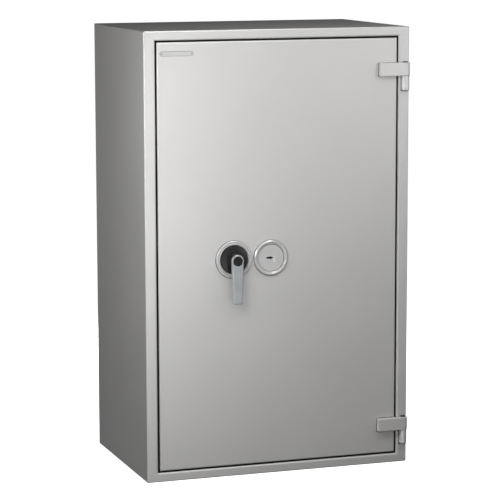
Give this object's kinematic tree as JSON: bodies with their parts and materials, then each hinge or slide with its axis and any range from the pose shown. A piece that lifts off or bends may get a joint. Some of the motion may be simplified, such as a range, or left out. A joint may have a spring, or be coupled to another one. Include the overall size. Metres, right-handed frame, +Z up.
{
  "type": "safe",
  "caption": "Upright single-door steel safe with insulated walls, outside hinges, a drop lever and a double-bit key lock.",
  "frame": {"origin": "centre of the body's base, on the floor", "axes": "+X towards the hinge side, +Y towards the back, +Z up; the door faces -Y"},
  "size_m": [0.622, 0.4343, 1],
  "materials": {
    "casing_paint": "satin powder coat with fine orange peel",
    "inner_paint": "smooth light grey enamel",
    "zinc_plate": "clear zinc plating, slightly cloudy",
    "bolt_steel": "bright turned and plated bar",
    "satin_silver": "satin silver lacquer",
    "black_gloss": "black, soft gloss",
    "seal_black": "matt black intumescent strip",
    "brass": "machined brass",
    "filler": "cast mineral filler, matt"
  },
  "bodies": {
    "cabinet": {"casing_left": "casing_paint", "casing_right": "casing_paint", "casing_top": "casing_paint", "casing_bottom": "casing_paint", "back_panel": "casing_paint", "frame_left": "casing_paint", "frame_right": "casing_paint", "frame_top": "casing_paint", "frame_bottom": "casing_paint", "wall_insulation": "filler", "inner_liner": "inner_paint", "bolt_cups": "zinc_plate", "frame_seal": "seal_black", "anchor_sleeves": "zinc_plate", "hinge_barrels": "casing_paint", "hinge_pins": "bolt_steel", "hinge_washers": "brass", "shelf_rails": "zinc_plate", "shelf_clips": "zinc_plate", "shelves": "inner_paint"},
    "door": {"door_panel": "casing_paint", "door_seal": "seal_black", "door_insulation": "filler", "door_base_plate": "zinc_plate", "drill_plate": "zinc_plate", "hinge_arm_upper": "casing_paint", "hinge_arm_lower": "casing_paint", "name_plate": "satin_silver", "bolt_case": "zinc_plate", "bolt_guides": "brass", "rod_guides": "zinc_plate", "dog_bolts": "bolt_steel", "door_cover": "inner_paint", "door_cover_board": "filler", "cover_screws": "zinc_plate", "spindle_bush": "brass", "handle_rosette": "satin_silver", "key_rosette": "satin_silver", "key_plate": "satin_silver", "key_guide": "bolt_steel", "lock_case": "zinc_plate", "lock_cover": "zinc_plate", "lock_screws": "zinc_plate"},
    "handle": {"rotor_disc": "black_gloss", "handle_lever": "satin_silver", "hub_cap": "black_gloss", "handle_spindle": "bolt_steel", "cam_disc": "zinc_plate", "cam_clip": "zinc_plate"},
    "bolt_bar": {"bolt_bar": "zinc_plate", "bolt_link": "zinc_plate", "side_bolts": "bolt_steel", "bolt_screws": "zinc_plate"},
    "top_bolt": {"top_rod": "zinc_plate", "top_bolt": "bolt_steel"},
    "bottom_bolt": {"bottom_rod": "zinc_plate", "bottom_bolt": "bolt_steel"},
    "lock_core": {"lock_core": "bolt_steel"},
    "lock_bolt": {"lock_bolt": "brass"},
    "lock_levers": {"lock_levers": "brass"}
  },
  "joints": [
    {"name": "door_swing", "type": "hinge", "parent": "cabinet", "child": "door", "pos_m": [0.301, -0.2045, 0.5], "axis": [0, 0, 1], "range_deg": [0, 180]},
    {"name": "handle_turn", "type": "hinge", "parent": "door", "child": "handle", "pos_m": [-0.1066, -0.2025, 0.4919], "axis": [0, 1, 0], "range_deg": [0, 90]},
    {"name": "bolt_bar_slide", "type": "slide", "parent": "door", "child": "bolt_bar", "axis": [-1, 0, 0], "range_m": [0, 0.02]},
    {"name": "top_bolt_slide", "type": "slide", "parent": "door", "child": "top_bolt", "axis": [0, 0, 1], "range_m": [0, 0.02]},
    {"name": "bottom_bolt_slide", "type": "slide", "parent": "door", "child": "bottom_bolt", "axis": [0, 0, -1], "range_m": [0, 0.02]},
    {"name": "key_turn", "type": "hinge", "parent": "door", "child": "lock_core", "pos_m": [-0.02, -0.2025, 0.4919], "axis": [0, 1, 0], "range_deg": [0, 180]},
    {"name": "lock_bolt_slide", "type": "slide", "parent": "door", "child": "lock_bolt", "axis": [-1, 0, 0], "range_m": [0, 0.011]},
    {"name": "lever_lift", "type": "hinge", "parent": "door", "child": "lock_levers", "pos_m": [0.004, -0.1615, 0.5149], "axis": [0, 1, 0], "range_deg": [0, 6], "stiffness_Nm_per_rad": 0.05}
  ],
  "couplings": [
    {"joint": "bolt_bar_slide", "follows": "handle_turn", "m_per_rad": 0.012732},
    {"joint": "top_bolt_slide", "follows": "handle_turn", "m_per_rad": 0.012732},
    {"joint": "bottom_bolt_slide", "follows": "handle_turn", "m_per_rad": 0.012732},
    {"joint": "key_turn", "follows": "lock_bolt_slide", "rad_per_m": 285.6}
  ]
}
